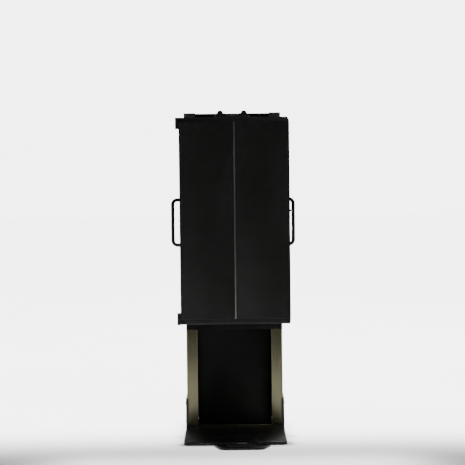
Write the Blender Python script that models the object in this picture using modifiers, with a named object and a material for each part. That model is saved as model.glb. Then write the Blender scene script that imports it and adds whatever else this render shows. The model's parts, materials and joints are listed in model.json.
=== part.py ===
"""Trash compactor: a slim press cabinet on a steel column, over an open bay and a foot plate.

Metres, +Z up. The front faces -Y and +X is the viewer's right. The origin is on the floor under
the centre of the bounding box. Each named object is one closed solid of the assembly.
"""
import math

import bmesh
import bpy
from mathutils import Matrix, Vector

# ---- driving dimensions -------------------------------------------------------------------
GAP = 0.0003                    # clearance between two touching pieces
SHEET = 0.0015                  # sheet metal thickness

COLUMN_FRONT = 0.088            # front plane of the two posts
COLUMN_BACK = 0.218
COLUMN_TOP = 0.876
COLUMN_HALF = 0.133             # also the half width of the cabinet shell
POST_FACE = 0.031               # visible width of one post

FOOT_FRONT = -0.160             # front edge of the foot plate, just ahead of the door's face
FOOT_HALF = 0.1353
FOOT_BOTTOM = 0.0015
FOOT_TOP = 0.008
GLIDE_X, GLIDE_FRONT, GLIDE_REAR = 0.112, -0.138, 0.195
GLIDE_RADIUS, GLIDE_HEIGHT = 0.012, 0.004
CHEEK_HALF = 0.1366             # outer face of the cheeks beside the column's base
CHEEK_TOP = 0.086

BAR_HALF = 0.1485               # half width of the two cross bars
BAR_HEIGHT = 0.030
BAR_FRONT = -0.1357
BAR_DEPTH = 0.012
TOP_BAR_Z = 0.826               # lower edge of the upper bar
BOTTOM_BAR_Z = 0.315

SHELL_FRONT = BAR_FRONT + BAR_DEPTH + GAP
SHELL_BACK = COLUMN_FRONT - GAP
SHELL_BOTTOM = 0.3183
SHELL_TOP = 0.852

DOOR_LEFT, DOOR_RIGHT = -0.1392, 0.1483
DOOR_BOTTOM, DOOR_TOP = 0.3295, 0.844
DOOR_BACK = BAR_FRONT - GAP
DOOR_PAN_FRONT = -0.150
DOOR_FRONT = -0.152
TRIM_LEFT, TRIM_RIGHT = 0.0027, 0.0064

HINGE_X, HINGE_Y = -0.144, -0.143
HINGE_RADIUS = 0.0045
HINGE_PIN_RADIUS = 0.0025

LATCH_Y, LATCH_Z = -0.143, 0.611
LATCH_HEIGHT = 0.0046

HANDLE_Z = 0.579
HANDLE_LENGTH = 0.131
HANDLE_DIAMETER = 0.0095
HANDLE_OUT = 0.1665             # outer face of each handle

RAM_Y = -0.024                  # the press axis stands at x = 0, y = RAM_Y
ROD_X = 0.0317
ROD_RADIUS = 0.005
SCREW_RADIUS = 0.010
JOURNAL_RADIUS = 0.006
GUIDE_Z = 0.400                 # underside of the guide plate
CROSSHEAD_Z = 0.672             # underside of the crosshead when the ram is up
CROSSHEAD_HEIGHT = 0.018
DECK_Z = 0.813                  # underside of the drive deck
BELT_Z = 0.829                  # middle height of the belt
MOTOR_Y = 0.050
SCREW_PULLEY_RADIUS = 0.022
MOTOR_PULLEY_RADIUS = 0.0088

PEDAL_X = 0.018
PEDAL_AXIS_Y, PEDAL_AXIS_Z = -0.1655, 0.0055
PEDAL_FRONT = -0.228
PEDAL_BARREL_HALF = 0.053

REAR_FACE = COLUMN_BACK + 0.0021  # outer face of the rear cover
INLET_Z = 0.070
ROCKER_Z = 0.120
ROCKER_AXIS_Y = REAR_FACE - 0.0031

# ---- scene and materials ------------------------------------------------------------------
for leftover in list(bpy.data.objects):
    bpy.data.objects.remove(leftover, do_unlink=True)

PARTS = bpy.data.collections.new("trash_compactor")
CUTTERS = bpy.data.collections.new("cutters")
for collection in (PARTS, CUTTERS):
    bpy.context.scene.collection.children.link(collection)


def make_material(name, colour, roughness, metallic):
    material = bpy.data.materials.new(name)
    material.use_nodes = True
    shader = material.node_tree.nodes["Principled BSDF"]
    shader.inputs["Base Color"].default_value = (*colour, 1.0)
    shader.inputs["Roughness"].default_value = roughness
    shader.inputs["Metallic"].default_value = metallic
    return material


BLACK_PAINT = make_material("black_paint", (0.012, 0.012, 0.013), 0.4, 0.0)
DOOR_PAINT = make_material("door_paint", (0.010, 0.010, 0.011), 0.35, 0.0)
STAINLESS = make_material("stainless", (0.46, 0.45, 0.38), 0.35, 1.0)
TRIM_METAL = make_material("trim_metal", (0.35, 0.36, 0.38), 0.3, 1.0)
STEEL = make_material("steel", (0.55, 0.55, 0.56), 0.3, 1.0)
CAST = make_material("cast_grey", (0.12, 0.12, 0.13), 0.6, 0.4)
BRONZE = make_material("bronze", (0.50, 0.32, 0.14), 0.35, 1.0)
PLASTIC = make_material("black_plastic", (0.02, 0.02, 0.022), 0.5, 0.0)
RUBBER = make_material("rubber", (0.015, 0.015, 0.015), 0.85, 0.0)
RED_PLASTIC = make_material("red_plastic", (0.45, 0.03, 0.02), 0.35, 0.0)


# ---- modelling helpers --------------------------------------------------------------------
def add_object(name, data, location=(0, 0, 0), rotation=(0, 0, 0), collection=PARTS):
    obj = bpy.data.objects.new(name, data)
    obj.location = location
    obj.rotation_euler = rotation
    collection.objects.link(obj)
    if collection is CUTTERS:
        obj.hide_render = True
        obj.display_type = "WIRE"
    return obj


def take_primitive(name, material, collection):
    """Name the primitive that an operator just added and move it to its collection."""
    obj = bpy.context.object
    for owner in list(obj.users_collection):
        owner.objects.unlink(obj)
    collection.objects.link(obj)
    obj.name = name
    obj.data.name = name
    if material:
        obj.data.materials.append(material)
    if collection is CUTTERS:
        obj.hide_render = True
        obj.display_type = "WIRE"
    return obj


def box(name, low, high, material=None, collection=PARTS, bevel=0.0):
    """A block between two corners, with its own centre as origin."""
    low, high = Vector(low), Vector(high)
    bpy.ops.mesh.primitive_cube_add(size=1.0, location=(low + high) / 2)
    obj = take_primitive(name, material, collection)
    obj.data.transform(Matrix.Diagonal((*(high - low), 1.0)))
    if bevel:
        edges = obj.modifiers.new("rounded_edges", "BEVEL")
        edges.width = bevel
        edges.segments = 2
    return obj


def cylinder(name, radius, start, end, material=None, collection=PARTS, sides=24):
    """A round bar from one point to another."""
    start, end = Vector(start), Vector(end)
    along = end - start
    bpy.ops.mesh.primitive_cylinder_add(vertices=sides, radius=radius, depth=along.length,
                                        location=(start + end) / 2)
    obj = take_primitive(name, material, collection)
    obj.rotation_euler = along.to_track_quat("Z", "Y").to_euler()
    obj.data.shade_smooth()
    obj.data.set_sharp_from_angle(angle=math.radians(40))
    return obj


def boolean(obj, other, operation="DIFFERENCE"):
    modifier = obj.modifiers.new(operation.lower(), "BOOLEAN")
    modifier.operation = operation
    modifier.solver = "EXACT"
    modifier.object = other
    return obj


def cut_round(obj, radius, start, end, sides=24):
    cutter = cylinder(obj.name + "_bore", radius, start, end, collection=CUTTERS, sides=sides)
    return boolean(obj, cutter)


def cut_box(obj, low, high):
    return boolean(obj, box(obj.name + "_pocket", low, high, collection=CUTTERS))


def join_round(obj, radius, start, end, sides=24):
    return boolean(obj, cylinder(obj.name + "_boss", radius, start, end, collection=CUTTERS,
                                 sides=sides), "UNION")


def join_box(obj, low, high):
    return boolean(obj, box(obj.name + "_web", low, high, collection=CUTTERS), "UNION")


def to_mesh(curve_object, material):
    """Turn a curve object into a mesh object of the same name, with its caps welded on."""
    bpy.context.view_layer.update()
    graph = bpy.context.evaluated_depsgraph_get()
    mesh = bpy.data.meshes.new_from_object(curve_object.evaluated_get(graph))
    name = curve_object.name
    matrix = curve_object.matrix_world.copy()
    bpy.data.objects.remove(curve_object, do_unlink=True)
    shape = bmesh.new()
    shape.from_mesh(mesh)
    bmesh.ops.remove_doubles(shape, verts=shape.verts, dist=0.00002)
    shape.to_mesh(mesh)
    shape.free()
    mesh.materials.clear()
    mesh.materials.append(material)
    obj = add_object(name, mesh)
    obj.matrix_world = matrix
    return obj


FLAT = (0.0, 0.0, 0.0)                              # outline read as (x, y), thickness in z
FACING_FRONT = (math.pi / 2, 0.0, 0.0)              # outline read as (x, z), thickness in y
FACING_SIDE = (math.pi / 2, 0.0, math.pi / 2)       # outline read as (y, z), thickness in x


def plate(name, outlines, thickness, middle, rotation, material):
    """A flat plate: filled 2D curve, the first outline its edge and the others its holes."""
    curve = bpy.data.curves.new(name, "CURVE")
    curve.dimensions = "2D"
    curve.fill_mode = "BOTH"
    curve.extrude = thickness / 2
    for outline in outlines:
        spline = curve.splines.new("POLY")
        spline.points.add(len(outline) - 1)
        for point, (u, v) in zip(spline.points, outline):
            point.co = (u, v, 0.0, 1.0)
        spline.use_cyclic_u = True
    obj = add_object(name, curve, rotation=rotation)
    axis = {FLAT: 2, FACING_FRONT: 1, FACING_SIDE: 0}[rotation]
    obj.location[axis] = middle
    return to_mesh(obj, material)


def arc(centre_u, centre_v, radius, start_deg, end_deg, steps=5):
    points = []
    for index in range(steps + 1):
        angle = math.radians(start_deg + (end_deg - start_deg) * index / steps)
        points.append((centre_u + radius * math.cos(angle), centre_v + radius * math.sin(angle)))
    return points


def rounded_rectangle(u0, v0, u1, v1, radius, steps=4):
    return (arc(u1 - radius, v0 + radius, radius, -90, 0, steps)
            + arc(u1 - radius, v1 - radius, radius, 0, 90, steps)
            + arc(u0 + radius, v1 - radius, radius, 90, 180, steps)
            + arc(u0 + radius, v0 + radius, radius, 180, 270, steps))


def circle(u, v, radius, sides=24):
    return arc(u, v, radius, 0, 360 - 360 / sides, sides - 1)


def turned(name, profile, x, y, material, steps=24):
    """A ring turned about the vertical line at (x, y) from a closed (radius, z) profile.

    The profile runs down the outer side and back up the bore.
    """
    mesh = bpy.data.meshes.new(name)
    count = len(profile)
    mesh.from_pydata([(radius, 0.0, z) for radius, z in profile],
                     [(index, (index + 1) % count) for index in range(count)], [])
    mesh.materials.append(material)
    obj = add_object(name, mesh, (x, y, 0.0))
    screw = obj.modifiers.new("turn", "SCREW")
    screw.steps = steps
    screw.render_steps = steps
    screw.use_merge_vertices = True
    screw.merge_threshold = 0.00001
    screw.use_smooth_shade = False
    return obj


def tube(name, points, radius, material, resolution=3):
    """A bent round bar with closed ends."""
    curve = bpy.data.curves.new(name, "CURVE")
    curve.dimensions = "3D"
    curve.bevel_depth = radius
    curve.bevel_resolution = resolution
    curve.use_fill_caps = True
    spline = curve.splines.new("POLY")
    spline.points.add(len(points) - 1)
    for point, position in zip(spline.points, points):
        point.co = (*position, 1.0)
    curve.materials.append(material)
    return add_object(name, curve)


def axis_empty(name, location, pieces):
    """An empty on a joint's axis that carries the pieces that move about it."""
    empty = bpy.data.objects.new(name, None)
    empty.empty_display_size = 0.02
    empty.location = location
    PARTS.objects.link(empty)
    for piece in pieces:
        piece.parent = empty
        piece.location = piece.location - empty.location
    return empty


# ---- foot plate, pedal and column ---------------------------------------------------------
def make_foot_plate():
    corner = 0.012
    narrow = COLUMN_FRONT - GAP
    outline = [(COLUMN_HALF, COLUMN_BACK), (-COLUMN_HALF, COLUMN_BACK), (-COLUMN_HALF, narrow),
               (-FOOT_HALF, narrow)]
    outline += arc(-FOOT_HALF + corner, FOOT_FRONT + corner, corner, 180, 270)
    outline += arc(FOOT_HALF - corner, FOOT_FRONT + corner, corner, 270, 360)
    outline += [(FOOT_HALF, narrow), (COLUMN_HALF, narrow)]
    foot = plate("foot_plate", [outline], FOOT_TOP - FOOT_BOTTOM, (FOOT_TOP + FOOT_BOTTOM) / 2,
                 FLAT, BLACK_PAINT)
    for x in (-GLIDE_X, GLIDE_X):
        for y in (GLIDE_FRONT, GLIDE_REAR):
            cut_round(foot, GLIDE_RADIUS + GAP, (x, y, -0.01), (x, y, GLIDE_HEIGHT + GAP))
    lug_inner, lug_outer, lug_radius = PEDAL_BARREL_HALF + GAP, 0.066, 0.004
    for side in (-1, 1):
        inner = PEDAL_X + side * lug_inner
        outer = PEDAL_X + side * lug_outer
        join_box(foot, (min(inner, outer), PEDAL_AXIS_Y, 0.0033),
                 (max(inner, outer), FOOT_FRONT + 0.004, 0.0077))
        join_round(foot, lug_radius, (inner, PEDAL_AXIS_Y, PEDAL_AXIS_Z),
                   (outer, PEDAL_AXIS_Y, PEDAL_AXIS_Z))
    cut_round(foot, 0.0023, (PEDAL_X - 0.08, PEDAL_AXIS_Y, PEDAL_AXIS_Z),
              (PEDAL_X + 0.08, PEDAL_AXIS_Y, PEDAL_AXIS_Z))


def make_glides():
    for front, y in (("front", GLIDE_FRONT), ("rear", GLIDE_REAR)):
        for side, x in (("left", -GLIDE_X), ("right", GLIDE_X)):
            cylinder(f"{front}_{side}_glide", GLIDE_RADIUS, (x, y, 0.0), (x, y, GLIDE_HEIGHT), RUBBER)


def make_pedal():
    root_half, tip_half, corner = 0.076, 0.044, 0.016
    root_y = PEDAL_AXIS_Y - 0.0047
    outline = [(PEDAL_X + root_half, root_y), (PEDAL_X - root_half, root_y)]
    outline += arc(PEDAL_X - tip_half, PEDAL_FRONT + corner, corner, 200, 270, 3)
    outline += arc(PEDAL_X + tip_half, PEDAL_FRONT + corner, corner, 270, 340, 3)
    pedal = plate("foot_pedal", [outline], 0.003, 0.005, FLAT, BLACK_PAINT)
    spring_half = 0.010
    for side in (-1, 1):
        inner = PEDAL_X + side * spring_half
        outer = PEDAL_X + side * PEDAL_BARREL_HALF
        join_box(pedal, (min(inner, outer), root_y - 0.003, 0.0038),
                 (max(inner, outer), PEDAL_AXIS_Y, 0.0062))
        join_round(pedal, 0.004, (inner, PEDAL_AXIS_Y, PEDAL_AXIS_Z),
                   (outer, PEDAL_AXIS_Y, PEDAL_AXIS_Z))
    cut_round(pedal, 0.0023, (PEDAL_X - 0.08, PEDAL_AXIS_Y, PEDAL_AXIS_Z),
              (PEDAL_X + 0.08, PEDAL_AXIS_Y, PEDAL_AXIS_Z))
    axis_empty("pedal_axis", (PEDAL_X, PEDAL_AXIS_Y, PEDAL_AXIS_Z), [pedal])
    cylinder("pedal_pin", 0.002, (PEDAL_X - 0.067, PEDAL_AXIS_Y, PEDAL_AXIS_Z),
             (PEDAL_X + 0.067, PEDAL_AXIS_Y, PEDAL_AXIS_Z), STEEL, sides=16)
    turns, per_turn, coil_radius, half = 5, 12, 0.0032, 0.0075
    points = []
    for index in range(turns * per_turn + 1):
        angle = 2 * math.pi * index / per_turn
        points.append((PEDAL_X - half + 2 * half * index / (turns * per_turn),
                       PEDAL_AXIS_Y + coil_radius * math.cos(angle),
                       PEDAL_AXIS_Z + coil_radius * math.sin(angle)))
    tube("pedal_spring", points, 0.0005, STEEL, resolution=1)


def make_column():
    inner = COLUMN_HALF - POST_FACE
    for name, side in (("left_post", -1), ("right_post", 1)):
        channel = [(inner, COLUMN_BACK), (inner, COLUMN_FRONT), (COLUMN_HALF, COLUMN_FRONT),
                   (COLUMN_HALF, COLUMN_BACK), (COLUMN_HALF - SHEET, COLUMN_BACK),
                   (COLUMN_HALF - SHEET, COLUMN_FRONT + SHEET),
                   (inner + SHEET, COLUMN_FRONT + SHEET), (inner + SHEET, COLUMN_BACK)]
        bottom = FOOT_TOP + GAP
        plate(name, [[(side * x, y) for x, y in channel]], COLUMN_TOP - bottom,
              (COLUMN_TOP + bottom) / 2, FLAT, STAINLESS)
    between = inner - GAP
    recess = COLUMN_FRONT + 0.012
    box("bay_back_panel", (-between, recess, FOOT_TOP + GAP), (between, recess + SHEET, 0.8727),
        BLACK_PAINT)
    sill = FOOT_TOP + GAP
    box("sill_strip", (-between, COLUMN_FRONT + 0.0005, sill), (between, recess - GAP, sill + 0.0035),
        STAINLESS)
    box("column_cap", (-between, recess, 0.873), (between, COLUMN_BACK - GAP, 0.8745), BLACK_PAINT)
    box("bay_header", (-COLUMN_HALF, COLUMN_FRONT - GAP - SHEET, 0.2772),
        (COLUMN_HALF, COLUMN_FRONT - GAP, SHELL_BOTTOM - 0.0008), BLACK_PAINT)
    thickness = CHEEK_HALF - COLUMN_HALF - GAP
    for name, side in (("left_cheek", -1), ("right_cheek", 1)):
        outline = rounded_rectangle(COLUMN_FRONT, FOOT_BOTTOM, COLUMN_BACK, CHEEK_TOP, 0.002, 2)
        plate(name, [outline], thickness, side * (CHEEK_HALF - thickness / 2), FACING_SIDE,
              BLACK_PAINT)


def make_rear_cover():
    outlines = [rounded_rectangle(-0.1322, 0.012, 0.1322, 0.872, 0.006, 3),
                rounded_rectangle(-0.0235, INLET_Z - 0.0135, 0.0235, INLET_Z + 0.0135, 0.001, 1),
                rounded_rectangle(-0.0125, ROCKER_Z - 0.0102, 0.0125, ROCKER_Z + 0.0102, 0.001, 1)]
    rows, first, pitch, slot_half_height = 8, 0.700, 0.014, 0.002
    for row in range(rows):
        height = first + pitch * row
        for centre in (-0.055, 0.055):
            outlines.append(rounded_rectangle(centre - 0.038, height - slot_half_height,
                                              centre + 0.038, height + slot_half_height, 0.001, 1))
    plate("rear_cover", outlines, SHEET, REAR_FACE - SHEET / 2, FACING_FRONT, BLACK_PAINT)


def make_power_inlet():
    face = REAR_FACE
    inlet = box("power_inlet", (-0.0225, face - 0.0201, INLET_Z - 0.0125),
                (0.0225, face + 0.0011, INLET_Z + 0.0125), PLASTIC)
    join_box(inlet, (-0.027, face + GAP, INLET_Z - 0.017), (0.027, face + 0.0033, INLET_Z + 0.017))
    cut_box(inlet, (-0.0165, face - 0.0111, INLET_Z - 0.0085), (0.0165, face + 0.01, INLET_Z + 0.0085))
    for x, z in ((-0.007, -0.002), (0.0, 0.0025), (0.007, -0.002)):
        join_box(inlet, (x - 0.001, face - 0.0116, INLET_Z + z - 0.002),
                 (x + 0.001, face - 0.0011, INLET_Z + z + 0.002))
    outline = [(face - 0.0066, ROCKER_Z - 0.008), (face + 0.0024, ROCKER_Z - 0.008),
               (face + 0.0044, ROCKER_Z), (face + 0.0079, ROCKER_Z + 0.008),
               (face - 0.0066, ROCKER_Z + 0.008)]
    rocker = plate("power_rocker", [outline], 0.021, 0.0, FACING_SIDE, RED_PLASTIC)
    axis_empty("rocker_axis", (0.0, ROCKER_AXIS_Y, ROCKER_Z), [rocker])


# ---- cabinet shell ------------------------------------------------------------------------
def make_bars():
    round_corner, chamfer_x, chamfer_z = 0.003, 0.0047, 0.0085
    half, height = BAR_HALF, BAR_HEIGHT
    low, high = TOP_BAR_Z, TOP_BAR_Z + height
    top = [(-half, low), (half, low), (half, high - chamfer_z), (half - chamfer_x, high)]
    top += arc(-half + round_corner, high - round_corner, round_corner, 90, 180, 3)
    plate("top_bar", [top], BAR_DEPTH, BAR_FRONT + BAR_DEPTH / 2, FACING_FRONT, BLACK_PAINT)
    low, high = BOTTOM_BAR_Z, BOTTOM_BAR_Z + height
    bottom = [(half - 0.003, low), (half, low + 0.004), (half, high), (-half, high)]
    bottom += arc(-half + round_corner, low + round_corner, round_corner, 180, 270, 3)
    plate("bottom_bar", [bottom], BAR_DEPTH, BAR_FRONT + BAR_DEPTH / 2, FACING_FRONT, BLACK_PAINT)


def make_shell():
    side_bottom = SHELL_BOTTOM + SHEET + GAP
    side_top = SHELL_TOP - SHEET - GAP
    jamb = BAR_FRONT + GAP
    above_bottom_bar = BOTTOM_BAR_Z + BAR_HEIGHT + GAP
    below_top_bar = TOP_BAR_Z - GAP
    outline = [(SHELL_FRONT, side_bottom), (SHELL_BACK, side_bottom), (SHELL_BACK, side_top),
               (SHELL_FRONT, side_top), (SHELL_FRONT, below_top_bar), (jamb, below_top_bar),
               (jamb, above_bottom_bar), (SHELL_FRONT, above_bottom_bar)]
    for name, side in (("cabinet_left_side", -1), ("cabinet_right_side", 1)):
        plate(name, [outline], SHEET, side * (COLUMN_HALF - SHEET / 2), FACING_SIDE, BLACK_PAINT)
    edge = rounded_rectangle(-COLUMN_HALF, SHELL_FRONT, COLUMN_HALF, SHELL_BACK, 0.001, 1)
    rod_holes = [circle(side * ROD_X, RAM_Y, ROD_RADIUS + 0.0005) for side in (-1, 1)]
    plate("cabinet_top", [edge] + rod_holes, SHEET, SHELL_TOP - SHEET / 2, FLAT, BLACK_PAINT)
    mouth = rounded_rectangle(-0.108, RAM_Y - 0.089, 0.108, RAM_Y + 0.089, 0.008, 3)
    plate("cabinet_floor", [edge, mouth], SHEET, SHELL_BOTTOM + SHEET / 2, FLAT, BLACK_PAINT)


def make_handles():
    centre_out = HANDLE_OUT - HANDLE_DIAMETER / 2
    half = HANDLE_LENGTH / 2 - HANDLE_DIAMETER / 2
    wall = COLUMN_HALF + GAP
    bend = 0.009
    upper = arc(centre_out - bend, HANDLE_Z + half - bend, bend, 90, 0, 5)
    lower = arc(centre_out - bend, HANDLE_Z - half + bend, bend, 0, -90, 5)
    path = [(wall, HANDLE_Z + half)] + upper + lower + [(wall, HANDLE_Z - half)]
    for name, side in (("left_handle", -1), ("right_handle", 1)):
        tube(name, [(side * x, RAM_Y, z) for x, z in path], HANDLE_DIAMETER / 2, BLACK_PAINT, 4)


def make_top_bracket():
    base_half, shoulder_half, base_z, shoulder_z, low_z = 0.0479, 0.0398, 0.860, 0.8705, 0.8645
    flat_half, depth = 0.0245, 0.022
    foot_z = SHELL_TOP + GAP
    dip = shoulder_z - low_z
    radius = (flat_half ** 2 + dip ** 2) / (2 * dip)
    half_angle = math.degrees(math.asin(flat_half / radius))
    outline = [(base_half, foot_z), (base_half, base_z), (shoulder_half, shoulder_z)]
    outline += arc(0.0, low_z + radius, radius, -90 + half_angle, -90 - half_angle, 8)
    outline += [(-shoulder_half, shoulder_z), (-base_half, base_z), (-base_half, foot_z)]
    bracket = plate("top_bracket", [outline], depth, RAM_Y, FACING_FRONT, CAST)
    for side in (-1, 1):
        x = side * ROD_X
        cut_round(bracket, ROD_RADIUS + GAP, (x, RAM_Y, 0.840), (x, RAM_Y, 0.890))


# ---- door, hinges and latch ---------------------------------------------------------------
def make_hinge(name, fixed_low, door_low, pin_low):
    """A lift-off hinge: the fixed half carries the pin, the door half is a bored knuckle."""
    knuckle_height, pin_length = 0.0137, 0.0170
    fixed_high = fixed_low + knuckle_height
    door_high = door_low + knuckle_height
    bracket = cylinder(f"{name}_hinge_bracket", HINGE_RADIUS, (HINGE_X, HINGE_Y, fixed_low),
                       (HINGE_X, HINGE_Y, fixed_high), BLACK_PAINT)
    join_box(bracket, (HINGE_X - 0.0025, HINGE_Y + 0.001, fixed_low + 0.0005),
             (HINGE_X + 0.0025, BAR_FRONT - GAP, fixed_high - 0.0005))
    join_round(bracket, HINGE_PIN_RADIUS, (HINGE_X, HINGE_Y, pin_low),
               (HINGE_X, HINGE_Y, pin_low + pin_length), 16)
    knuckle = cylinder(f"{name}_door_knuckle", HINGE_RADIUS, (HINGE_X, HINGE_Y, door_low),
                       (HINGE_X, HINGE_Y, door_high), BLACK_PAINT)
    join_box(knuckle, (HINGE_X + 0.001, HINGE_Y - 0.003, door_low + 0.0005),
             (DOOR_LEFT - GAP, HINGE_Y + 0.003, door_high - 0.0005))
    cut_round(knuckle, HINGE_PIN_RADIUS + GAP, (HINGE_X, HINGE_Y, door_low - 0.005),
              (HINGE_X, HINGE_Y, door_high + 0.005), 16)
    return knuckle


def make_hinges():
    upper = make_hinge("upper", TOP_BAR_Z + 0.0161, TOP_BAR_Z + 0.002, TOP_BAR_Z + 0.004)
    lower = make_hinge("lower", BOTTOM_BAR_Z, BOTTOM_BAR_Z + 0.0141, BOTTOM_BAR_Z + 0.009)
    return [upper, lower]


def make_door():
    pan = box("door_pan", (DOOR_LEFT, DOOR_PAN_FRONT, DOOR_BOTTOM), (DOOR_RIGHT, DOOR_BACK, DOOR_TOP),
              BLACK_PAINT)
    wall = 0.0012
    cut_box(pan, (DOOR_LEFT + wall, DOOR_PAN_FRONT + wall, DOOR_BOTTOM + wall),
            (DOOR_RIGHT - wall, DOOR_BACK + 0.01, DOOR_TOP - wall))
    liner = box("door_liner", (DOOR_LEFT + wall + GAP, -0.1378, DOOR_BOTTOM + wall + GAP),
                (DOOR_RIGHT - wall - GAP, DOOR_BACK - GAP, DOOR_TOP - wall - GAP), BLACK_PAINT)
    face_back, inset, flange = DOOR_PAN_FRONT - GAP, 0.0007, 0.0039
    low, high = DOOR_BOTTOM + 0.001, DOOR_TOP - 0.001
    left = box("left_door_panel", (DOOR_LEFT + inset, DOOR_FRONT, low),
               (TRIM_LEFT - GAP, face_back, high), DOOR_PAINT)
    right = box("right_door_panel", (TRIM_RIGHT + GAP, DOOR_FRONT, low),
                (DOOR_RIGHT - flange, face_back, high), DOOR_PAINT)
    trim = box("door_trim", (TRIM_LEFT, DOOR_FRONT - 0.0004, low), (TRIM_RIGHT, face_back, high),
               TRIM_METAL)
    return [pan, liner, left, right, trim]


def make_latch():
    """A turn catch on the door's right edge that lies over a strike plate on the cabinet side."""
    reach, thickness, half = 0.038, 0.004, LATCH_HEIGHT / 2
    outline = arc(LATCH_Y, LATCH_Z, half, 90, 270, 6) + arc(LATCH_Y + reach, LATCH_Z, half, -90, 90, 6)
    lever = plate("latch_lever", [outline], thickness, DOOR_RIGHT + GAP + thickness / 2, FACING_SIDE,
                  BLACK_PAINT)
    axis_empty("latch_axis", (DOOR_RIGHT, LATCH_Y, LATCH_Z), [lever])
    box("latch_strike", (COLUMN_HALF + GAP, -0.126, LATCH_Z - 0.012),
        (DOOR_RIGHT - GAP, -0.100, LATCH_Z + 0.012), STEEL, bevel=0.002)


# ---- press drive --------------------------------------------------------------------------
def make_guides():
    for name, side in (("left", -1), ("right", 1)):
        x = side * ROD_X
        cylinder(f"{name}_guide_rod", ROD_RADIUS, (x, RAM_Y, GUIDE_Z + 0.001), (x, RAM_Y, 0.8715), STEEL,
                 sides=20)
        profile = [(0.0062, 0.8779), (0.0076, 0.8765), (0.0076, 0.8722), (0.0080, 0.8708),
                   (ROD_RADIUS + GAP, 0.8708), (ROD_RADIUS + GAP, 0.8720), (0.0, 0.8720), (0.0, 0.8779)]
        turned(f"{name}_cap_nut", profile, x, RAM_Y, STEEL, 20)
    rod_holes = [circle(side * ROD_X, RAM_Y, ROD_RADIUS + GAP) for side in (-1, 1)]
    outlines = [rounded_rectangle(-0.1312, RAM_Y - 0.040, 0.1312, RAM_Y + 0.040, 0.003, 2),
                circle(0.0, RAM_Y, 0.0206)] + rod_holes
    plate("guide_plate", outlines, 0.010, GUIDE_Z + 0.005, FLAT, CAST)


def make_deck():
    rod_holes = [circle(side * ROD_X, RAM_Y, ROD_RADIUS + GAP) for side in (-1, 1)]
    outlines = [rounded_rectangle(-0.1312, -0.070, 0.1312, 0.084, 0.004, 2),
                circle(0.0, RAM_Y, JOURNAL_RADIUS + 0.0006), circle(0.0, MOTOR_Y, 0.0046)] + rod_holes
    plate("drive_deck", outlines, 0.003, DECK_Z + 0.0015, FLAT, CAST)
    bearing = box("bearing_block", (-0.022, RAM_Y - 0.022, DECK_Z - 0.024),
                  (0.022, RAM_Y + 0.022, DECK_Z - GAP), CAST)
    cut_round(bearing, JOURNAL_RADIUS + GAP, (0, RAM_Y, DECK_Z - 0.05), (0, RAM_Y, DECK_Z + 0.05))


def make_motor():
    motor = cylinder("motor", 0.029, (0, MOTOR_Y, 0.722), (0, MOTOR_Y, DECK_Z - GAP), CAST, sides=32)
    join_round(motor, 0.012, (0, MOTOR_Y, 0.712), (0, MOTOR_Y, 0.730))
    cut_round(motor, 0.0043, (0, MOTOR_Y, 0.795), (0, MOTOR_Y, 0.830), 16)
    box("control_box", (0.068, -0.050, 0.735), (0.1295, 0.060, 0.8055), PLASTIC, bevel=0.003)
    switch = (-0.1312, RAM_Y - 0.010)
    for name, low, high in (("upper_limit_switch", CROSSHEAD_Z + CROSSHEAD_HEIGHT + 0.002, 0.712),
                            ("lower_limit_switch", GUIDE_Z + 0.010 + GAP, 0.4215)):
        box(name, (switch[0], switch[1], low), (switch[0] + 0.034, switch[1] + 0.020, high), PLASTIC)


def pulley_profile(radius, flange, half_height, bore):
    groove = half_height - 0.002
    return [(flange, BELT_Z + half_height), (flange, BELT_Z + groove), (radius, BELT_Z + groove - 0.0005),
            (radius, BELT_Z - groove + 0.0005), (flange, BELT_Z - groove), (flange, BELT_Z - half_height),
            (bore, BELT_Z - half_height), (bore, BELT_Z + half_height)]


def make_belt_drive():
    screw = cylinder("lead_screw", SCREW_RADIUS, (0, RAM_Y, 0.412), (0, RAM_Y, DECK_Z - 0.0246), STEEL)
    join_round(screw, JOURNAL_RADIUS, (0, RAM_Y, DECK_Z - 0.030), (0, RAM_Y, 0.8405))
    screw_pulley = turned("screw_pulley", pulley_profile(SCREW_PULLEY_RADIUS, 0.0235, 0.0085,
                                                         JOURNAL_RADIUS + GAP), 0.0, RAM_Y, CAST, 32)
    motor_pulley = cylinder("motor_pulley", MOTOR_PULLEY_RADIUS, (0, MOTOR_Y, BELT_Z - 0.0085),
                            (0, MOTOR_Y, BELT_Z + 0.0085), STEEL)
    join_round(motor_pulley, 0.0038, (0, MOTOR_Y, 0.7955), (0, MOTOR_Y, 0.8420), 16)
    screw_axis = (0.0, RAM_Y, BELT_Z)
    axis_empty("screw_axis", screw_axis, [screw, screw_pulley])
    axis_empty("motor_axis", (0.0, MOTOR_Y, BELT_Z), [motor_pulley])
    thickness, slack = 0.0018, 0.0004
    spread = math.degrees(math.asin((SCREW_PULLEY_RADIUS - MOTOR_PULLEY_RADIUS) / (MOTOR_Y - RAM_Y)))

    def loop(extra):
        large = SCREW_PULLEY_RADIUS + slack + extra
        small = MOTOR_PULLEY_RADIUS + slack + extra
        return (arc(0.0, MOTOR_Y, small, spread, 180 - spread, 8)
                + arc(0.0, RAM_Y, large, 180 - spread, 360 + spread, 20))

    plate("drive_belt", [loop(thickness), loop(0.0)], 0.011, BELT_Z, FLAT, RUBBER)


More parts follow.
